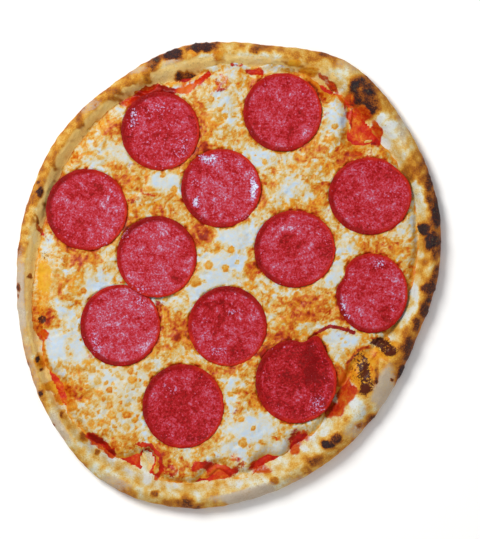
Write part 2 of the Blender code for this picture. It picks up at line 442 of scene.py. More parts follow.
def curedSalami():
    # Sliced pizza salami: finely minced lean meat and fat, deep red with paprika oil
    # that has come out in the oven and lies on it with a shine. The lighter lilac tones are
    # partly fat and partly painted sheen, and the white and lilac patches are painted
    # highlights. The edge is darker, and wider and darker on one side as painted shade.
    mat = Shader("curedSalami")
    mince = mat.noise(1.3, 2, 0.8)
    coarse = mat.noise(5.0, 3, 0.8)
    strand = mat.noise(2.6, 3, 0.8, 0.8)
    tone = mat.scaleAdd(coarse, 1.1, mat.field("tone"))
    tone = mat.scaleAdd(strand, 0.9, tone)
    tone = mat.scaleAdd(mince, 1.45, tone, clamp=True)
    colour = mat.ramp(tone, salamiLook["stops"])
    # The darker rind, wider and darker on one side as painted shade
    rindShadeMask = mat.scaleAdd(coarse, 0.9, mat.field("rindAndShade"))
    rindShadeTone = mat.scaleAdd(mince, 0.9, mat.field("shade"), clamp=True)
    rindShadeColour = mat.ramp(rindShadeTone, salamiLook["rindAndShade"])
    colour = mat.mix(mat.step(rindShadeMask, 0.25, 0.85), colour, rindShadeColour)
    # Painted highlights: white and lilac patches, and a faint ring near the edge
    highlightShare = mat.scaleAdd(mince, 2.4, mat.field("paintedHighlight"))
    highlightShare = mat.scaleAdd(strand, 1.0, highlightShare)
    highlightTone = mat.scaleAdd(highlightShare, 1.5, -0.75, clamp=True)
    colour = mat.mix(mat.step(highlightShare, 0.42, 0.78), colour, mat.ramp(highlightTone, salamiLook["paintedHighlight"]))
    grain = mat.bump(mince, 0.40)
    normal = mat.bump(strand, 0.6, grain)
    return mat.close({
        "Base Color": colour, "Roughness": 0.40, "Normal": normal, "IOR": 1.22,
        "Subsurface Weight": 0.04, "Subsurface Scale": 0.001})


# The crust

crustShape = {
    "roundLevels": 2, "rimFrom": 3.0,
    "lumps": (9.0, 0.55, 3.1, 2), "poreSize": 3.2, "poreHeight": 0.25,
    "charRise": 0.7, "spotHalo": 2.0, "haloBake": 0.60,
    "paleTone": 0.19, "crownTone": 0.32, "outerTone": 0.50, "paleSide": -0.08,
    "patches": (22.0, 0.24, 14.0, 2), "mottle": (6.0, 0.30, 16.0, 2),
    "cutAboveSauce": 0.3, "innerShift": 3.0, "outerLevel": 8.0, "paleTurn": 135,
    "plainFlour": 0.10, "wander": (7.0, 2.5, 11.0), "nearWander": (4.0, 1.7, 13.0),
}
# Zones of the rim: x, y, half width, half length, how far it is baked (1 is charred)
bakeZones = [
    (96, 122, 12, 14, 0.56), (107, 103, 10, 15, 0.03), (129, 70, 8, 9, 0.64), (137, 8, 6, 18, 0.4),
    (134, -26, 6, 12, 0.46), (126, -52, 6, 14, 0.66), (114, 118, 7, 8, 0.38),
    (80, 140, 12, 8, 0.22), (52, 150, 14, 6, 0.54), (20, 151, 14, 5, 0.1), (0, 150, 6, 5, 0.34),
    (-16, 150, 6, 6, 0.2), (-54, 146, 7, 5, 0.66), (-60, 136, 6, 5, 0.5), (-80, 126, 15, 7, 0.52),
    (-110, 100, 12, 14, 0.46), (-133, 45, 7, 16, 0.36), (-139, 22, 6, 12, 0.26),
    (-144, 15, 4, 4, 0.62), (-120, 74, 6, 5, 0.5), (-120, -100, 7, 10, 0.24),
    (-108, -116, 7, 8, 0.24), (-84, -136, 14, 7, 0.2), (-48, -150, 16, 7, 0.24),
    (-12, -148, 13, 7, 0.28), (26, -147, 16, 6, 0.1), (61, -130, 12, 6, 0.48),
    (40, -138, 10, 5, 0.24), (98, -92, 6, 6, 0.24), (94, -66, 10, 14, 0.46), (90, -94, 6, 7, 0.03),
    (-57, -130, 6, 9, 0.16),
]
# Lines of it: half width, value, points
bakeLines = [
    (4.5, 0.78, [(139, 66), (143, 52), (146, 34), (146, 16)]),
    (4.2, 0.8, [(145, 2), (143, -14), (141, -22)]),
    (2.4, 0.66, [(141, -22), (138, -36), (134, -46)]),
    (4.0, 0.8, [(132, -48), (128, -56), (120, -73)]),
    (5.5, 0.54, [(-60, 143), (-78, 132), (-96, 117), (-108, 104)]),
    (4.0, 0.46, [(-108, 104), (-122, 84), (-133, 62)]),
    (3.5, 0.46, [(-133, 62), (-141, 42), (-146, 24)]),
    (2.6, 0.1, [(130, 64), (134, 52), (135, 40)]),
    (2.6, 0.3, [(133, 24), (133, 8), (132, -4)]),
    (2.6, 0.03, [(131, -12), (130, -20), (126, -32)]),
    (7.5, 0.91, [(91, 131), (98, 117)]),
    (1.8, 0.62, [(-133, 66), (-141, 48), (-146, 30), (-148, 10)]),
    (2.6, 0.88, [(-36, 156), (-46, 152), (-55, 147)]),
    (3.0, 0.8, [(-28, 158), (-19, 159), (-10, 160)]),
    (1.0, 0.7, [(-136, 41), (-134, 36)]),
    (1.4, 0.62, [(-103, 97), (-92, 96), (-81, 105)]),
    (1.6, 0.72, [(103, -60), (104, -67), (102, -74)]),
]
# Charred blisters: x, y, half width, half length, how far they are baked
charSpots = [
    (145, 44, 3, 11, 0.96), (136, 32, 5, 4, 1.0), (141, 24, 4, 7, 0.98), (139, -9, 4, 5, 0.9),
    (137, -25, 3.2, 6, 0.9), (131, -35, 3, 5, 0.86), (126, -53, 4, 9, 0.88),
    (121, -69, 3.4, 6, 0.98), (114, -73, 1.2, 1.2, 0.85), (87, 122, 3.5, 3.5, 1.0),
    (98, 116, 5, 5, 0.96), (73, 131, 2.2, 2.2, 1.0), (68, 155, 5, 2.4, 0.82), (18, 157, 3, 2, 0.76),
    (-19, 159, 8, 3.4, 0.98), (-38, 154, 6, 4, 0.98), (-31, 139, 6, 3.5, 0.84),
    (-35, 140, 2, 2, 0.96), (-25, 138, 2, 2.5, 0.96), (-132, 58, 2.6, 3.2, 0.95),
    (-133, 65, 1.6, 1.6, 0.82), (-139, -1, 1.4, 1.6, 0.74), (-131, -31, 3.4, 3.6, 1.0),
    (-133.5, -59, 1.6, 3, 0.97), (-131, -66, 1.4, 1.4, 0.86), (-131, -83, 1.6, 2.2, 0.96),
    (-117, -97, 1.4, 2, 0.76), (-123, -104, 1.5, 1.5, 0.76), (-101, -113, 2.4, 2.6, 0.72),
    (-92, -124, 1.6, 1.6, 0.7), (-68, -129, 1.5, 1.5, 0.72), (-29, -159, 4, 3.6, 0.8),
    (-51, -153, 1.8, 1.8, 0.72), (32, -144, 2, 2, 0.62), (69, -118, 4, 3, 1.0),
    (75, -114, 4, 3, 0.9), (59, -130, 4, 2.5, 0.76), (95, -79, 3.4, 3.6, 0.97),
    (106, -47, 3.4, 2.2, 0.97), (112, -54, 3.2, 2.6, 0.93),
]
# Where raw flour is left on the rim
flourZones = [
    (-145, -17, 6, 32, 0.85), (-139, -66, 7, 28, 0.55), (-119, -107, 11, 14, 0.75),
    (-83, -146, 18, 6, 0.7), (12, -153, 26, 8, 1.1), (50, -145, 12, 5, 0.6), (108, -80, 8, 20, 0.9),
    (88, -108, 8, 7, 0.6), (121, 102, 5, 14, 0.6), (84, 146, 12, 5, 0.5), (-97, 118, 10, 5, 0.6),
    (-69, 143, 13, 3, 0.65), (-38, 148, 8, 4, 0.75), (-24, 145, 6, 4, 0.5),
]
# Where yellow oil has soaked in
oilZones = [
    (-26, 157, 3.5, 3.5, 0.95), (-7, 153, 5, 4, 0.55), (-3, 144, 4, 4, 0.5),
    (-129, -2, 6, 14, 0.95), (-130, -20, 4, 8, 0.6), (-125, 14, 4, 5, 0.45), (-132, -60, 4, 7, 0.6),
    (-122, -78, 8, 4, 0.8), (-118, -86, 4, 5, 0.85), (93, -66, 10, 14, 0.95), (110, -53, 9, 8, 0.8),
    (96, -90, 4, 4, 0.3), (57, 142, 8, 5, 0.6), (45, 147, 5, 3, 0.8), (12, 142, 10, 4, 0.3),
    (-60, 135, 7, 4, 0.45), (-89, 104, 6, 5, 0.6), (-27, -58, 8, 5, 0.45), (50, -27, 16, 6, 0.3),
]
# Where the inner side stays white and gets none of the painted light
milkyZones = [
    (107, 103, 10, 15, 1.0), (130, -22, 5, 10, 1.0), (90, -94, 6, 7, 0.8),
]
# Raised puffs of dough: x, y, half width, half length, height
puffs = [
    (94, -66, 9, 13, 2.0), (94, -64, 4, 9, -1.6), (110, -52, 7, 5, 1.5), (90, -94, 6, 7, 2.2),
    (-12, -148, 12, 7, 0.8), (-31, 140, 8, 4, 0.8), (-57, -130, 5, 7, 5.0),
]
# Where a bubble of bare dough stands through sauce and cheese
bareZones = [(-57, -130, 4.6, 6.6)]
# Where sauce shows through the cheese or stains the dough
redZones = [
    (91, 112, 9, 6, 0.95), (103, 99, 4, 9, 0.95), (88, 100, 3, 9, 0.8), (85, 121, 5, 6, 0.55),
    (-27, 132, 11, 4, 0.4), (-5, 134, 6, 6, 0.36), (20, 142, 6, 3, 0.75), (-128, 26, 4, 6, 0.25),
    (-130, -43, 4, 5, 0.55), (-50, -23, 4, 6, 0.3), (-38, -33, 4, 4, 0.22), (28, -53, 5, 5, 0.42),
    (80, -80, 6, 13, 0.8), (74, -94, 7, 6, 0.85), (50, -112, 7, 5, 0.6), (46, -120, 5, 6, 0.6),
    (-40, -112, 12, 4, 0.4), (-40, -136, 7, 5, 0.34), (-71, 121, 6, 4, 0.5), (-4, -138, 11, 5, 1.0),
    (-19, -133, 9, 4, 0.85), (6, -131, 6, 6, 0.3), (22, -135, 8, 5, 0.58), (62, -43, 4, 5, 0.26),
    (85, -83, 5, 6, 0.95), (24, 5, 6, 4, 0.22), (-73, 23, 4, 6, 0.24), (96, 84, 12, 5, 0.3),
    (-119, -84, 5, 8, 0.38), (-76, 65, 8, 6, 0.24), (-60, 52, 9, 5, 0.26), (94, 95, 5, 5, 0.12),
]
redLines = [
    (3.0, 0.92, [(-66, 122), (-60, 128), (-50, 131), (-40, 129)]),
    (2.0, 0.8, [(-40, 129), (-30, 129), (-22, 134), (-14, 141)]),
    (1.2, 0.6, [(2, 147), (9, 147)]),
    (2.2, 0.62, [(64, 140), (72, 133), (77, 126), (82, 121)]),
    (3.4, 1.0, [(-97, -113), (-90, -117), (-82, -125)]),
    (1.5, 0.8, [(-64, -118), (-55, -119), (-48, -127), (-47, -136), (-51, -142)]),
    (1.1, 1.1, [(61, -41), (65, -38), (71, -36), (76, -36), (81, -38), (88, -40)]),
    (1.0, 0.62, [(-134, 36), (-131, 29), (-126, 24)]),
]
# Which of these lines are thick dark sauce
darkLines = [0, 4, 6]
# Where the skin is burnt to a net of specks
speckleZones = [
    (94, -66, 5, 11, 1.3), (91, -57, 5, 5, 0.85), (98, -76, 5, 5, 1.05), (95, -80, 4, 4, 1.6),
    (105, -47, 6, 3.4, 1.55), (113, -53, 5, 4, 1.5), (109, -50, 5, 4, 1.25), (88, -68, 3, 8, 0.65),
    (-128, 14, 2.6, 3.4, 0.8), (-130.5, -31, 3.0, 3.2, 1.35),
]


def makeCrust():
    shape = crustShape
    piece = copyOfNode("crust", "crustBaked")
    subdivided(piece, shape["roundLevels"])
    # The rim is cut finer than the base, which the toppings cover
    editMode(piece, "DESELECT", "FACE")
    objectMode()
    points = pointsOf(piece)
    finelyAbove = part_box("tomato_sauce")[0][2] / mm + shape["cutAboveSauce"]
    for face in piece.data.polygons:
        heights = [points[k][2] for k in face.vertices]
        face.select = min(heights) > shape["rimFrom"] and max(heights) > finelyAbove
    bpy.ops.object.mode_set(mode="EDIT")
    bpy.ops.mesh.subdivide(number_cuts=1, smoothness=0)
    objectMode()
    points = pointsOf(piece)
    normals = normalsOf(piece)
    xs, ys, zs = points.T
    out = smooth((zs - 2.0) / 5.0)
    lumps = uneven(xs, ys, shape["lumps"])
    pores = np.array([noise.noise(Vector(p) / shape["poreSize"]) for p in points])
    wanderX, wanderY = wandered(xs, ys, *shape["wander"])
    nearX, nearY = wandered(xs, ys, *shape["nearWander"])
    # Where a point lies between the rim's inner side and its outer edge
    low, high = (np.array(corner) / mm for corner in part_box("tomato_sauce"))
    turns = np.linspace(-math.pi, math.pi, 241)
    sauceSkin = skinOf(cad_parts["tomato_sauce"])
    inner = reachAround(sauceSkin, (0, 0), turns, [(low[2] + high[2]) / 2])
    outer = reachAround(skinOf(piece), (0, 0), turns, [shape["outerLevel"]])
    angle = np.arctan2(ys, xs)
    innerHere = np.interp(angle, turns, inner) + shape["innerShift"]
    outerHere = np.interp(angle, turns, outer)
    across = np.clip((np.hypot(xs, ys) - innerHere) / (outerHere - innerHere), 0, 1)
    bake = shape["paleTone"] - shape["paleSide"] * np.cos(angle - math.radians(shape["paleTurn"]))
    bake = bake + (shape["crownTone"] - bake) * smooth((across - 0.1) / 0.5)
    bake = bake + (shape["outerTone"] - shape["crownTone"]) * smooth((across - 0.5) / 0.5)
    bake += uneven(xs, ys, shape["patches"])
    bake = zoneField(wanderX, wanderY, bake, bakeZones)
    bake = withLines(wanderX, wanderY, bake, bakeLines)
    bake += uneven(xs, ys, shape["mottle"])
    for spot in charSpots:
        away = awayFrom(nearX, nearY, spot)
        halo = smooth((shape["spotHalo"] - away) / 1.1)
        bake = np.maximum(bake, bake + (shape["haloBake"] - bake) * halo)
        bake = bake + (spot[4] - bake) * smooth((1.2 - away) / 0.5)
    char = smooth((bake - 0.78) / 0.2)
    rise = out * (lumps + pores * shape["poreHeight"] + char * shape["charRise"])
    for puff in puffs:
        rise += out * puff[4] * smooth(1.15 - awayFrom(nearX, nearY, puff))
    setPoints(piece, points + normals * rise[:, None])
    storeField(piece, "bake", bake)
    # Painted light: the inner side that turns to the lower right, away from the key light, is
    # painted a light yellow
    awayFromKey = (normalsOf(piece)[:, 0] - normalsOf(piece)[:, 1]) * math.sqrt(0.5)
    paintedLight = smooth(awayFromKey / 0.45) * (1 - smooth((across - 0.35) / 0.3))
    paintedLight *= 1 - zoneField(wanderX, wanderY, 0.0, milkyZones)
    storeField(piece, "paintedLight", paintedLight * (1 - smooth((bake - 0.42) / 0.25)))
    flour = zoneField(wanderX, wanderY, shape["plainFlour"], flourZones)
    flour = flour * smooth((across - 0.38) / 0.25)
    storeField(piece, "flour", flour * (1 - smooth((bake - 0.62) / 0.2)))
    oil = zoneField(wanderX, wanderY, 0.0, oilZones)
    storeField(piece, "oil", oil * (1 - smooth((bake - 0.66) / 0.2)))
    stain = withLines(nearX, nearY, zoneField(wanderX, wanderY, 0.0, redZones), redLines)
    storeField(piece, "stain", stain * (1 - smooth((across - 0.25) / 0.3)))
    storeField(piece, "speckle", zoneField(nearX, nearY, 0.0, speckleZones))
    finishPiece(piece, bakedDough())
    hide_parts("crust")
    return piece


# Sauce and cheese, made as fine sheets over what carries them

besideCells = ((1, 0), (-1, 0), (0, 1), (0, -1))
cornerCells = ((1, 1), (1, -1), (-1, 1), (-1, -1))


def spreadFrom(seed, allowed):
    # All cells that can be reached from the seed without leaving the allowed ones
    reached = seed & allowed
    while True:
        grown = reached.copy()
        for shift in besideCells:
            grown |= np.roll(reached, shift, (0, 1))
        grown &= allowed
        if grown.sum() == reached.sum():
            return reached
        reached = grown


def layerSheet(name, node, shape, shapeRule):
    # A square grid, cut to the outline that shapeRule gives, and closed below.
    # shapeRule(xs, ys) returns heights, a field that is above nought on the layer, and
    # the named fields that the material reads.
    size = shape["size"]
    count = int(size / shape["step"])
    bpy.ops.mesh.primitive_grid_add(x_subdivisions=count, y_subdivisions=count,
                                    size=size * mm, location=(0, 0, 0))
    piece = bpy.context.object
    piece.name = name
    points = pointsOf(piece)
    column = np.rint((points[:, 0] + size / 2) / (size / count)).astype(int)
    row = np.rint((points[:, 1] + size / 2) / (size / count)).astype(int)
    xs = np.empty((count + 1, count + 1))
    ys = np.empty_like(xs)
    xs[row, column] = points[:, 0]
    ys[row, column] = points[:, 1]
    heights, inside, fields = shapeRule(xs, ys)
    for fieldName, values in fields.items():
        storeField(piece, fieldName, values[row, column])
    # One piece: crumbs off the outline go. A hole stays as a place where the sheet
    # dips below what carries it.
    on = spreadFrom(np.hypot(xs, ys) < 10, inside > 0)
    near = on.copy()
    for shift in besideCells + cornerCells:
        near |= np.roll(on, shift, (0, 1))
    near = ~spreadFrom(np.hypot(xs, ys) > 0.6 * size, ~near)
    points[:, 2] = heights[row, column]
    setPoints(piece, points)
    editMode(piece, "DESELECT")
    objectMode()
    piece.data.vertices.foreach_set("select", ~near[row, column])
    bpy.ops.object.mode_set(mode="EDIT")
    bpy.ops.mesh.delete(type="VERT")
    # The sheet's own faces, copied below and joined into one, are its underside
    bpy.ops.mesh.select_mode(type="FACE")
    bpy.ops.mesh.select_all(action="SELECT")
    bpy.ops.mesh.extrude_region_move()
    bpy.ops.mesh.dissolve_faces()
    objectMode()
    # The underside lies a little under the node's own, hidden in what carries the sheet,
    # and lower where the edge dips below it
    points = pointsOf(piece)
    under = np.zeros(len(points), dtype=bool)
    piece.data.vertices.foreach_get("select", under)
    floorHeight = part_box(node)[0][2] / mm - shape["sink"]
    points[under, 2] = np.minimum(points[under, 2] - 0.3, floorHeight)
    setPoints(piece, points)
    editMode(piece, "SELECT")
    bpy.ops.mesh.normals_make_consistent(inside=False)
    objectMode()
    return piece


sauceShape = {
    "size": 300.0, "step": 1.5, "film": 0.35, "dip": 0.5, "outlineSoft": 2.0, "grow": 0.2,
    "pulp": (6.0, 0.5, 9.0, 3), "tone": 0.46, "sink": 0.6, "below": 0.25,
    "lobes": (7.0, 0.15, 5.0, 2), "toneUneven": (14.0, 0.30, 15.0, 2),
}
cheeseShape = {
    "size": 317.0, "step": 0.88, "film": 0.45, "filmUneven": (5.0, 0.8, 33.0, 2), "dip": 0.4,
    "outlineSoft": 3.0, "grow": 0.12, "lobes": (9.0, 0.20, 21.0, 3, 0.6), "edgeSoft": 0.95,
    "fillet": 2.6, "sink": 2.1, "leastSupport": 4.0,
    "seatRise": 1.7, "seatSoft": 1.2, "laps": (5.0, 1.0, 29.0, 2), "lapReach": 0.22, "lapRise": 0.7,
    "pools": (13.0, 0.30, 2.5, 2), "curd": (6.0, 1.0, 4.0, 3, 0.6), "curdHeight": 0.28,
    "grain": (2.4, 0.07, 6.0, 2), "discHeight": 0.18,
    "tone": 0.45, "toneReach": 0.50, "calmShare": 0.36, "veinTone": 0.16,
    "oilRing": 0.34, "edgeTone": 0.64, "yellow": 0.62, "yellowSpots": (8.0, 1.0, 51.0, 2),
    "levelSoft": 2.0, "broad": (24.0, 0.75, 2.0, 2, 0.7), "middle": (5.2, 0.40, 3.0, 3, 0.9),
    "fine": (4.4, 0.40, 8.0, 3, 0.9), "redUneven": (6.0, 0.32, 25.0, 3, 0.8),
    "plainRed": 0.03, "redUnderDisc": 0.25, "seatRed": 0.20, "rosy": (14.0, 5.0, 37.0, 2),
    "pulpUneven": (12.0, 0.7, 27.0, 2), "pulp": 0.5, "darkPulp": 0.5, "oilPulp": 0.5,
    "wander": (8.0, 2.6, 17.0), "nearWander": (3.0, 1.0, 19.0),
    "flow": (11.0, 6.5, 43.0), "discWander": (2.6, 0.6, 61.0),
}
# The look of the round spots, with the range of their tones and of their strengths
discLook = {
    "seed": 41, "fat": (0.52, 0.9), "tones": (0.38, 0.60), "strengths": (0.62, 1),
    # low darkens each disc towards its lower side: painted shade
    "apart": 1.04, "ring": 0.20, "low": 0.08, "dent": 0.6,
}
# Zones of the cheese: x, y, half width, half length, tone. Low is white and thick,
# the middle is yellow with fat, and high is browned.
toneZones = [
    (-73, 86, 19, 8, 0.18), (-94, 75, 7, 6, 0.2), (-45, 65, 13, 7, 0.1), (6, 28, 15, 8, 0.08),
    (-11, -4, 14, 9, 0.02), (-5, 9, 21, 6, 0.16), (-122, -49, 10, 11, 0.06),
    (-94, -7, 13, 11, 0.14), (-111, -30, 13, 8, 0.26), (-106, -52, 8, 11, 0.12),
    (16, -108, 18, 11, 0.1), (2, -122, 11, 6, 0.18), (-73, -80, 17, 15, 0.22),
    (-57, -101, 10, 7, 0.2), (-90, -70, 13, 10, 0.18), (-88, -92, 12, 9, 0.3),
    (-74, -106, 9, 7, 0.3), (-8, 119, 8, 10, 0.24), (74, 109, 6, 10, 0.22), (76, 2, 6, 10, 0.12),
    (76, -52, 6, 10, 0.26), (34, 56, 10, 7, 0.27), (36, -123, 14, 7, 0.14), (-48, -15, 7, 8, 0.18),
    (-23, -11, 8, 8, 0.1), (15, 82, 11, 7, 0.42), (43, 84, 17, 7, 0.38), (85, -62, 6, 6, 0.24),
    (50, -23, 24, 10, 0.68), (36, -44, 8, 8, 0.74), (27, -55, 6, 6, 0.9), (-29, -41, 7, 10, 0.6),
    (-27, -65, 15, 6, 0.74), (-48, -26, 5, 6, 0.66), (-125, 0, 9, 17, 0.4), (-128, -28, 6, 9, 0.58),
    (-108, -3, 8, 9, 0.26), (-115, -83, 7, 7, 0.6), (4, -66, 10, 6, 0.62), (11, -79, 10, 6, 0.54),
    (-76, 65, 8, 6, 0.6), (-55, 50, 13, 6, 0.4), (-50, 43, 5, 6, 0.76), (-108, 74, 9, 6, 0.52),
    (-75, 33, 6, 6, 0.66), (-80, 18, 6, 6, 0.66), (-107, 12, 8, 6, 0.5), (18, 5, 8, 6, 0.66),
    (24, -10, 6, 6, 0.62), (64, 50, 7, 10, 0.62), (81, 25, 10, 7, 0.58), (99, 20, 8, 6, 0.52),
    (79, -17, 8, 6, 0.52), (62, -48, 7, 6, 0.72), (-30, 123, 8, 5, 0.56), (-20, 87, 6, 6, 0.7),
    (-48, -122, 10, 6, 0.62), (-82, -120, 6, 5, 0.58), (86, 83, 8, 6, 0.58), (96, 89, 6, 5, 0.66),
    (65, 123, 6, 6, 0.62), (12, 139, 6, 6, 0.56), (51, 60, 8, 7, 0.48), (4, 88, 7, 7, 0.36),
    (80, -78, 8, 14, 0.72), (-121, -93, 3, 6, 0.02), (70, -44, 6, 4, 0.12), (56, -37, 9, 3, 0.3),
    (94, 95, 6, 5, 0.16), (94, -66, 11, 15, 0.58), (102, -65, 3, 6, 0.9), (88, -70, 4, 8, 0.66),
    (109, -50, 9, 7, 0.62), (-2, 147, 18, 7, 0.36), (34, 147, 18, 4, 0.4), (87, -46, 7, 4, 0.22),
    (-122, -21, 8, 6, 0.32),
]
# Where the colour is more even than elsewhere, last the share of unevenness left
evenZones = [
    (94, -66, 11, 14, 0.35), (110, -52, 9, 7, 0.5), (82, -80, 7, 14, 0.5), (-73, -82, 26, 22, 0.4),
    (-127, -5, 7, 18, 0.5), (96, 106, 12, 14, 0.4),
]
toneLines = [
    (3.2, 0.42, [(-126, 14), (-129, 2), (-129, -12), (-127, -24)]),
    (3.0, 0.52, [(125, 42), (128, 26), (129, 8), (127, -8)]),
    (2.8, 0.68, [(-133, -38), (-131, -52), (-128, -62), (-124, -72), (-119, -84)]),
    (3.4, 0.56, [(-121, -78), (-112, -80), (-107, -84)]),
    (2.0, 0.64, [(-103, 97), (-92, 96), (-81, 105)]),
    (1.1, 0.92, [(86, -86), (81, -74), (83, -62), (90, -53), (98, -50)]),
    (1.1, 0.94, [(108, -62), (111, -70), (108, -80), (101, -87), (94, -88)]),
    (1.3, 0.96, [(101, -44), (108, -46), (114, -52), (117, -58)]),
]
# Where the sauce is thin and orange with oil: x, y, half width, half length, share
orangeZones = [
    (82, -78, 7, 13, 1.0), (-27, 132, 12, 5, 0.7), (-12, -137, 14, 5, 0.4), (74, 132, 6, 8, 0.7),
    (-130, -43, 5, 7, 0.8), (-119, -84, 6, 9, 0.9),
]
# Where the thin skin of oil and cheese reaches further up the rim
skinReach = [
    (97, -64, 13, 16, 0.8), (110, -52, 9, 8, 0.8), (-2, 145, 18, 8, 0.7), (30, 145, 18, 5, 0.6),
    (96, 108, 12, 14, 0.8), (-134, -20, 4, 24, 0.6), (-54, 129, 12, 6, 0.7), (0, -138, 30, 6, 0.5),
]
# Blisters that stand up through the cheese: x, y, half width, half length, height
skinPuffs = [
    (93, -66, 10, 14, 2.4), (92, -64, 4, 9, -1.6), (108, -51, 9, 6, 1.6),
]
# Round spots of yellow fat: x, y, radius
fatDiscs = [
    (-19, 23, 3.0), (-8, 20, 2.0), (2, 18, 2.4), (-14, 7, 3.2), (-2, 5, 2.8), (-23, -4, 4.2),
    (17, -107, 2.0), (10, -117, 3.4), (23, -116, 2.0), (9, -101, 2.0), (-110, -91, 4.0),
    (-12, 123, 2.4), (-6, 116, 2.2), (-2, 111, 1.8), (-98, -84, 3.2), (28, 27, 1.8), (-46, 70, 2.2),
    (-38, 60, 2.4), (74, 104, 2.4), (72, 96, 2.2), (108, 86, 2.2),
]
bubblePatches = [
    {"x": -76, "y": -84, "reach": 28, "count": 600, "small": 1.1, "large": 3.4},
    {"x": -100, "y": -60, "reach": 16, "count": 16, "small": 1.0, "large": 2.2},
    {"x": -14, "y": 112, "reach": 14, "count": 12, "small": 1.0, "large": 2.4},
    {"x": 0, "y": 0, "reach": 130, "count": 220, "small": 0.9, "large": 2.2},
]


def scatteredDiscs():
    # Seeded round spots, denser where the photo shows the cheese full of bubbles. Each
    # is x, y, radius, tone and strength.
    look = discLook
    dice = random.Random(look["seed"])
    discs = [disc + look["fat"] for disc in fatDiscs]
    for patch in bubblePatches:
        for _ in range(patch["count"]):
            turn = dice.uniform(0, 2 * math.pi)
            away = patch["reach"] * math.sqrt(dice.random())
            radius = patch["small"] + (patch["large"] - patch["small"]) * dice.random() ** 1.5
            x = patch["x"] + away * math.cos(turn)
            y = patch["y"] + away * math.sin(turn)
            # A disc that would touch another is left out
            if all(math.hypot(x - other[0], y - other[1]) > look["apart"] * (radius + other[2])
                   for other in discs):
                tone = dice.uniform(*look["tones"])
                discs.append((x, y, radius, tone, dice.uniform(*look["strengths"])))
    return discs


def discFields(xs, ys):
    # Tone share and target tone of the round spots, and their height
    share = np.zeros(xs.shape)
    target = np.zeros(xs.shape)
    rise = np.zeros(xs.shape)
    for x, y, radius, tone, strength in scatteredDiscs():
        near = (np.abs(xs - x) < 2 * radius) & (np.abs(ys - y) < 2 * radius)
        away = np.hypot(xs[near] - x, ys[near] - y) / radius
        here = smooth((1.25 - away) / 0.55) * strength
        ring = bell(away, 0.85, 0.22)
        # Painted shade: each disc's tone rises towards its lower side
        low = (y - ys[near]) / radius
        stronger = here > share[near]
        toneHere = tone + discLook["ring"] * ring + discLook["low"] * low
        target[near] = np.where(stronger, toneHere, target[near])
        share[near] = np.maximum(share[near], here)
        rise[near] += (smooth(1.1 - away) - discLook["dent"] * ring) * strength
    return share, target, rise


# Where the sauce is dark and thick (low) or thin and orange (high)
sauceZones = [
    (-119, -84, 8, 12, 0.8), (92, 105, 14, 14, 0.66), (-5, -138, 16, 8, 0.6),
    (82, -82, 8, 14, 0.94), (-90, -118, 11, 10, 0.2), (-50, 130, 18, 10, 0.2),
    (-52, -126, 10, 14, 0.62),
]


def makeSauce(crust):
    shape = sauceShape
    under = skinOf(crust)
    own = skinOf(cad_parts["tomato_sauce"])

    def rule(xs, ys):
        support = heightsOver(under, xs, ys, 0.0)
        solid = heightsOver(own, xs, ys, 0.0)
        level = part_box("tomato_sauce")[1][2] / mm
        inside = blurred((solid > 0).astype(float), shape["outlineSoft"] / shape["step"])
        inside += uneven(xs, ys, shape["lobes"])
        for zone in bareZones:
            inside -= 2 * smooth((1.2 - awayFrom(xs, ys, zone)) / 0.3)
        pulp = uneven(xs, ys, shape["pulp"])
        edge = smooth((inside - shape["grow"]) / 0.3)
        top = np.maximum(level - shape["below"], support + shape["film"]) + pulp
        sunk = support - shape["dip"]
        tone = zoneField(xs, ys, shape["tone"], sauceZones)
        tone += uneven(xs, ys, shape["toneUneven"])
        return sunk + (top - sunk) * edge, inside - shape["grow"], {"tone": tone}

    piece = layerSheet("sauceCooked", "tomato_sauce", shape, rule)
    finishPiece(piece, cookedSauce())
    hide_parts("tomato_sauce")
    return piece


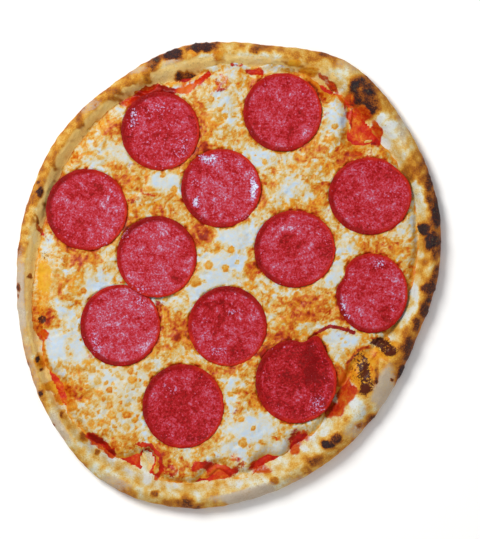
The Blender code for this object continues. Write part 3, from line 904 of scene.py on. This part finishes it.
def makeCheese(crust, sauce):
    shape = cheeseShape
    under = skinOf(crust, sauce)
    own = skinOf(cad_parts["cheese"])
    slices = skinOf(*(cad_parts[name] for name in sliceNames))
    step = shape["step"]

    def rule(xs, ys):
        support = heightsOver(under, xs, ys, 0.0)
        solid = heightsOver(own, xs, ys, 0.0)
        covered = heightsOver(slices, xs, ys, 0.0) > 0
        there = solid > 0
        soft = shape["levelSoft"] / step
        share = blurred(there.astype(float), soft)
        level = blurred(np.where(there, solid, 0.0), soft) / np.maximum(share, 0.02)
        inside = blurred(there.astype(float), shape["outlineSoft"] / step)
        inside += uneven(xs, ys, shape["lobes"])
        inside = np.where(share > 0.02, inside, -1.0)
        wanderX, wanderY = wandered(xs, ys, *shape["wander"])
        nearX, nearY = wandered(xs, ys, *shape["nearWander"])
        reach = zoneField(nearX, nearY, 0.0, skinReach)
        inside = np.maximum(inside, np.where(reach > 0, reach, -1.0))
        for zone in bareZones:
            inside -= 2 * smooth((1.45 - awayFrom(nearX, nearY, zone)) / 0.3)
        inside = np.where(support > shape["leastSupport"], inside, -1.0)
        # Colour fields
        tone = zoneField(wanderX, wanderY, shape["tone"], toneZones)
        tone = withLines(nearX, nearY, tone, toneLines)
        calm = shape["calmShare"] + (1 - shape["calmShare"]) * smooth((tone - 0.05) / 0.3)
        calm = calm * zoneField(wanderX, wanderY, 1.0, evenZones)
        flowX, flowY = wandered(xs, ys, *shape["flow"])
        patches = uneven(flowX, flowY, shape["broad"]) + uneven(flowX, flowY, shape["middle"])
        patches += uneven(xs, ys, shape["fine"])
        curd = uneven(flowX, flowY, shape["curd"])
        vein = smooth(1 - np.abs(curd) / 0.16)
        tone = tone + calm * (patches * shape["toneReach"] + (vein - 0.35) * shape["veinTone"])
        discX, discY = wandered(nearX, nearY, *shape["discWander"])
        discShare, discTone, discRise = discFields(discX, discY)
        discShare = discShare * (0.35 + 0.65 * smooth((0.75 - tone) / 0.4))
        tone = tone + (discTone - tone) * discShare
        red = zoneField(wanderX, wanderY, shape["plainRed"], redZones)
        red = withLines(nearX, nearY, red, redLines)
        red = red + calm * uneven(flowX, flowY, shape["redUneven"])
        red = red - shape["redUnderDisc"] * discShare
        rosy = smooth(0.4 + uneven(xs, ys, shape["rosy"]))
        pulp = shape["pulp"] + uneven(xs, ys, shape["pulpUneven"])
        oilPool = zoneField(wanderX, wanderY, 0.0, orangeZones)
        for k in darkLines:
            pulp = pulp + shape["darkPulp"] * lineWeight(xs, ys, redLines[k][2], 3.0)
        # Cheese seated round the slices
        cover = blurred(covered.astype(float), shape["seatSoft"] / step)
        lap = uneven(xs, ys, shape["laps"])
        shifted = cover - lap * shape["lapReach"]
        seat = 1 - smooth((shifted - 0.48) / 0.40)
        lapped = bell(cover, 0.50, 0.22) * smooth((lap - 0.05) / 0.25)
        ring = bell(cover, 0.40, 0.24) * smooth((0.22 - lap) / 0.4)
        red = red + shape["seatRed"] * bell(cover, 0.22, 0.22) * rosy
        tone = tone + ring * shape["oilRing"]
        rimward = 1 - smooth((inside - shape["grow"]) / 0.6)
        tone = tone + (shape["edgeTone"] - tone) * rimward * 0.9
        pools = uneven(xs, ys, shape["pools"])
        lumpy = np.abs(curd) * shape["curdHeight"] * 2 + uneven(xs, ys, shape["grain"])
        detail = (pools + lumpy * calm + discRise * shape["discHeight"]) * (1 - smooth(cover * 3))
        top = level + seat * (shape["seatRise"] + detail) + lapped * shape["lapRise"]
        thin = shape["film"] + uneven(xs, ys, shape["filmUneven"])
        lift = top - support - thin
        top = support + thin + (lift + np.hypot(lift, shape["fillet"])) / 2
        top -= shape["fillet"] / 2 * (1 - smooth(lift / shape["fillet"] + 1))
        for puff in skinPuffs:
            top += puff[4] * smooth(1.15 - awayFrom(nearX, nearY, puff))
        edge = smooth((inside - shape["grow"]) / shape["edgeSoft"])
        sunk = support - shape["dip"]
        yellow = smooth(uneven(flowX, flowY, shape["yellowSpots"]) / 0.3)
        yellow = yellow * smooth((tone - 0.34) / 0.14)
        oil = np.maximum(zoneField(wanderX, wanderY, 0.0, oilZones), yellow * shape["yellow"])
        pulp = pulp - shape["oilPulp"] * oilPool
        speckle = zoneField(nearX, nearY, 0.0, speckleZones)
        fields = {"tone": tone, "red": red, "pulp": pulp, "oil": oil, "speckle": speckle}
        return sunk + (top - sunk) * edge, inside - shape["grow"], fields

    piece = layerSheet("cheeseMelted", "cheese", shape, rule)
    finishPiece(piece, meltedCheese())
    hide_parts("cheese")
    return piece


# The salami slices

sliceNames = sorted(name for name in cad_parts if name.startswith("salami_"))
sliceShape = {
    "roundLevels": 3, "waves": (16.0, 0.45, 8.0, 2), "mince": (3.2, 0.20, 12.0, 2),
    "tone": 0.46, "toneUneven": (13.0, 0.24, 18.0, 3, 0.7), "ragged": (5.0, 0.35, 10.0, 2),
    "shadeUneven": (8.0, 0.3, 34.0, 2), "cupRise": 0.6, "cupFrom": 0.80,
    "rindThin": 0.09, "rindWideInShade": 0.20, "ringHighlight": 0.08, "wander": (6.0, 2.0, 23.0),
}
# How light each slice is beside the others, from first to last
sliceTones = [-0.05, -0.02, 0.04, -0.02, 0.02, -0.01, 0.06, 0.10, -0.04, -0.20, 0.02, -0.10]
# Which side of each slice has the widest, darkest painted shade on its edge, in degrees
sliceShadeSides = [150, 215, 215, 215, 160, 190, 110, 205, 100, 150, 215, 160]
# Painted shade in hollows and folds on slices: x, y, half width, half length, tone
shadeZones = [
    (57, -60, 6, 12, -0.02), (57, -71, 4, 6, -0.15), (-10, -20, 10, 3, 0.16),
    (-15, -25, 4, 5, 0.18), (40, 24, 5, 4, 0.26), (-36, -2, 5, 4, 0.24), (-24, 44, 3, 12, 0.3),
    (87, 50, 4, 8, 0.34), (93, -12, 4, 5, 0.3),
]
# Painted highlights, white and lilac, on the slices: x, y, half width, half length, amount
highlightZones = [
    (17, 60, 2.6, 9, 1.15), (-22, 51, 2.8, 4, 1.3), (-13, 81, 7, 3.4, 1.0), (0, 78, 9, 3, 0.4),
    (-24, 66, 3, 6, 0.38), (8, 40, 8, 3, 0.34), (-5, 60, 18, 18, 0.16), (-66, 108, 4, 9, 0.56),
    (-50, 116, 10, 3, 0.55), (-48, 100, 18, 18, 0.2), (-33, 90, 6, 10, 0.34),
    (-92, -46, 4, 8, 0.46), (-62, -20, 5, 4, 0.4), (-76, -36, 14, 14, 0.12),
    (-50, 14, 15, 14, 0.14), (-62, -10, 6, 4, 0.34), (-7, -52, 7, 3, 0.4), (4, -26, 6, 2.5, 0.44),
    (-16, -38, 3, 8, 0.34), (-40, -80, 8, 4, 0.34), (80, -22, 2.4, 3, 0.62), (84, -28, 2, 2.4, 0.5),
    (105, 8, 5, 4, 0.44), (62, -90, 6, 9, 0.36), (113, 58, 4, 5, 0.3), (-80, 40, 4, 8, 0.2),
    (-90, 22, 6, 3, 0.34), (-72, 30, 4, 4, 0.4), (115, -20, 4, 8, 0.24),
]


def makeSlice(name, lightness, side, material):
    shape = sliceShape
    piece = copyOfNode(name, name.replace("salami_", "salamiSlice"))
    subdivided(piece, shape["roundLevels"])
    points = pointsOf(piece)
    xs, ys, zs = points.T
    low, high = (np.array(corner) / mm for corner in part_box(name))
    centre = (low + high) / 2
    angle = np.arctan2(ys - centre[1], xs - centre[0])
    turns = np.linspace(-math.pi, math.pi, 121)
    levels = np.linspace(low[2] + 0.3, high[2] - 0.3, 8)
    reach = reachAround(skinOf(piece), centre, turns, levels, 60.0)
    share = np.hypot(xs - centre[0], ys - centre[1]) / np.interp(angle, turns, reach)
    waves = uneven(xs, ys, shape["waves"])
    mince = uneven(xs, ys, shape["mince"])
    cup = smooth((share - shape["cupFrom"]) / (1.0 - shape["cupFrom"])) * shape["cupRise"]
    points[:, 2] += waves * smooth(share) + mince + cup
    ragged = uneven(xs, ys, shape["ragged"])
    outward = ragged * smooth((share - 0.8) / 0.2) / np.interp(angle, turns, reach)
    points[:, 0] += (xs - centre[0]) * outward
    points[:, 1] += (ys - centre[1]) * outward
    setPoints(piece, points)
    tone = shape["tone"] + lightness + uneven(xs, ys, shape["toneUneven"])
    nearX, nearY = wandered(xs, ys, *shape["wander"])
    storeField(piece, "tone", zoneField(nearX, nearY, tone, shadeZones, 1.3))
    # The cupped edge: a darker rind, wider and darker on one side as painted shade; the cup itself
    # rises evenly all round
    shadedFacing = 0.5 + 0.5 * np.cos(angle - math.radians(side))
    width = shape["rindThin"] + (shape["rindWideInShade"] - shape["rindThin"]) * shadedFacing
    storeField(piece, "rindAndShade", smooth((share - 1.0 + 1.15 * width) / (0.9 * width)))
    # Painted shade: darkest on the side given for each slice
    shade = 0.85 - 0.65 * shadedFacing + uneven(xs, ys, shape["shadeUneven"])
    storeField(piece, "shade", shade)
    # Painted highlights: where white and lilac sheen is painted on the slice
    paintedHighlight = zoneField(nearX, nearY, 0.0, highlightZones, 1.2)
    storeField(piece, "paintedHighlight", paintedHighlight + shape["ringHighlight"] * bell(share, 0.8, 0.12))
    finishPiece(piece, material)
    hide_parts(name)
    return piece


# Stage, light and camera

stageLook = {"floor": "#FFFFFF", "floorSize": 6.0}
# Soft lights: name, power, size, place, colour
softLights = [
    ("keyLight", 35.0, 0.80, (-0.86, 0.85, 1.60), "#FFFEFA"),
    ("fillLight", 8.0, 1.2, (1.5, -1.5, 0.75), "#FFF2DC"),
    ("topLight", 5.2, 1.6, (-0.1, 0.1, 2.3), "#F4F6FF"),
]
worldLook = {"colour": "#FBFCFF", "strength": 0.34}
photoFrame = {
    "width": 480, "height": 539, "mmPerPixel": 0.7,
    "originPixel": (228.7, 275.1), "planeHeight": 8.5, "distance": 3000.0, "sensor": 36.0,
}


def makeStage():
    bpy.ops.mesh.primitive_plane_add(size=stageLook["floorSize"], location=(0, 0, -0.0002))
    floor = bpy.context.object
    floor.name = "paleFloor"
    mat = Shader("palePaper")
    floor.data.materials.append(mat.close({
        "Base Color": linearColour(stageLook["floor"]), "Roughness": 0.9,
        "Specular IOR Level": 0.0}))


def addSoftLight(name, power, size, place, colour):
    light = bpy.data.lights.new(name, "AREA")
    light.shape = "DISK"
    light.size = size
    light.energy = power
    light.color = linearColour(colour)[:3]
    lamp = bpy.data.objects.new(name, light)
    lamp.location = place
    lamp.rotation_euler = (-Vector(place)).to_track_quat("-Z", "Y").to_euler()
    bpy.context.scene.collection.objects.link(lamp)


def makeLight():
    for light in softLights:
        addSoftLight(*light)
    world = bpy.data.worlds.new("paleRoom")
    world.use_nodes = True
    background = world.node_tree.nodes["Background"]
    background.inputs["Color"].default_value = linearColour(worldLook["colour"])
    background.inputs["Strength"].default_value = worldLook["strength"]
    bpy.context.scene.world = world
    bpy.context.scene.view_settings.view_transform = "Standard"
    bpy.context.scene.view_settings.look = "None"


def makeCamera():
    shot = photoFrame
    lens = bpy.data.cameras.new("photoCamera")
    lens.sensor_fit = "VERTICAL"
    lens.sensor_height = shot["sensor"]
    seen = shot["height"] * shot["mmPerPixel"]
    lens.lens = shot["sensor"] * shot["distance"] / seen
    lens.clip_end = 20.0
    camera = bpy.data.objects.new("photoCamera", lens)
    x = (shot["width"] / 2 - shot["originPixel"][0]) * shot["mmPerPixel"]
    y = (shot["originPixel"][1] - shot["height"] / 2) * shot["mmPerPixel"]
    camera.location = Vector((x, y, shot["planeHeight"] + shot["distance"])) * mm
    bpy.context.scene.collection.objects.link(camera)
    bpy.context.scene.camera = camera


crust = makeCrust()
print("crust done:", len(crust.data.polygons), "faces")
sauce = makeSauce(crust)
print("sauce done:", len(sauce.data.polygons), "faces")
cheese = makeCheese(crust, sauce)
print("cheese done:", len(cheese.data.polygons), "faces")
salami = curedSalami()
for sliceName, lightness, side in zip(sliceNames, sliceTones, sliceShadeSides):
    makeSlice(sliceName, lightness, side, salami)
print("slices done:", len(sliceNames))
makeStage()
makeLight()
makeCamera()
print("stage, light and camera done")
